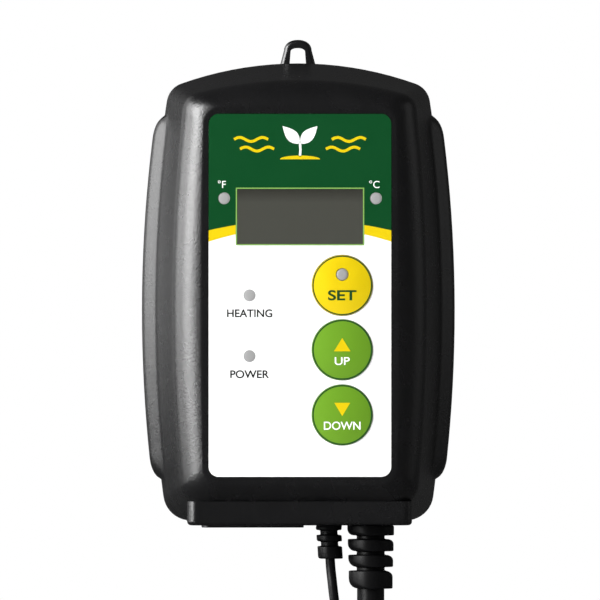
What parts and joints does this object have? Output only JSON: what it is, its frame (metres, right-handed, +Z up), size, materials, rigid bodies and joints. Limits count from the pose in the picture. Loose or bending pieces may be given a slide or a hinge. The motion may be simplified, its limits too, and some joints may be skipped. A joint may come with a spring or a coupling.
{
  "type": "heat mat thermostat",
  "caption": "Hanging plug-in thermostat for a seedling heat mat, with a digital display, spring-back keys, an outlet underneath and a sensor lead.",
  "frame": {"origin": "the point that a wall hook carries: on the plane of the back, at the underside of the hanging loop's arch, on the case's middle line", "axes": "+Z up, the face looks along -Y, +X to the right of someone who looks at the face"},
  "size_m": [0.1021, 0.0432, 0.321],
  "materials": {
    "case_plastic": "fine spark-eroded satin black",
    "label_film": "printed polycarbonate film",
    "window": "smoked, smooth",
    "lamp_plastic": "frosted",
    "key_yellow": "satin",
    "key_green": "satin",
    "rubber": "matte",
    "board": "solder mask",
    "component_plastic": "moulded",
    "steel": "plated",
    "brass": "drawn",
    "silver_film": "satin film"
  },
  "bodies": {
    "case": {"front_cover": "case_plastic", "rear_cover": "case_plastic", "label_overlay": "label_film", "display_window": "window", "light_pipe_fahrenheit": "lamp_plastic", "light_pipe_celsius": "lamp_plastic", "light_pipe_heating": "lamp_plastic", "light_pipe_power": "lamp_plastic", "tact_switch_set": "steel", "tact_switch_up": "steel", "tact_switch_down": "steel", "led_display": "component_plastic", "display_board": "board", "led_fahrenheit": "lamp_plastic", "led_celsius": "lamp_plastic", "led_heating": "lamp_plastic", "led_power": "lamp_plastic", "led_set": "lamp_plastic", "microcontroller": "component_plastic", "board_connector": "component_plastic", "power_board": "board", "relay": "component_plastic", "transformer": "component_plastic", "filter_capacitor": "component_plastic", "fuse": "component_plastic", "varistor": "component_plastic", "cover_screw_lower_left": "steel", "cover_screw_lower_right": "steel", "cover_screw_upper_left": "steel", "cover_screw_upper_right": "steel", "display_board_screw_lower": "steel", "display_board_screw_upper": "steel", "rating_label": "silver_film", "outlet_insert": "case_plastic", "contact_line": "brass", "contact_neutral": "brass", "contact_ground": "brass", "mains_strain_relief": "rubber", "mains_cable": "rubber", "mains_coil": "rubber", "mains_tie": "rubber", "mains_tail": "rubber", "plug_body": "rubber", "plug_blade_line": "brass", "plug_blade_neutral": "brass", "plug_ground_pin": "brass", "probe_strain_relief": "rubber", "probe_cable": "rubber", "probe_coil": "rubber", "probe_tie": "rubber", "probe_tail": "rubber", "probe_tip": "steel"},
    "set_key": {"key_set": "key_yellow", "light_pipe_set": "lamp_plastic", "switch_plunger_set": "component_plastic"},
    "up_key": {"key_up": "key_green", "switch_plunger_up": "component_plastic"},
    "down_key": {"key_down": "key_green", "switch_plunger_down": "component_plastic"}
  },
  "joints": [
    {"name": "set_press", "type": "slide", "parent": "case", "child": "set_key", "axis": [0, 1, 0], "range_m": [0, 0.0005], "stiffness_N_per_m": 1600, "springref_m": -0.0003},
    {"name": "up_press", "type": "slide", "parent": "case", "child": "up_key", "axis": [0, 1, 0], "range_m": [0, 0.0005], "stiffness_N_per_m": 1600, "springref_m": -0.0003},
    {"name": "down_press", "type": "slide", "parent": "case", "child": "down_key", "axis": [0, 1, 0], "range_m": [0, 0.0005], "stiffness_N_per_m": 1600, "springref_m": -0.0003}
  ]
}
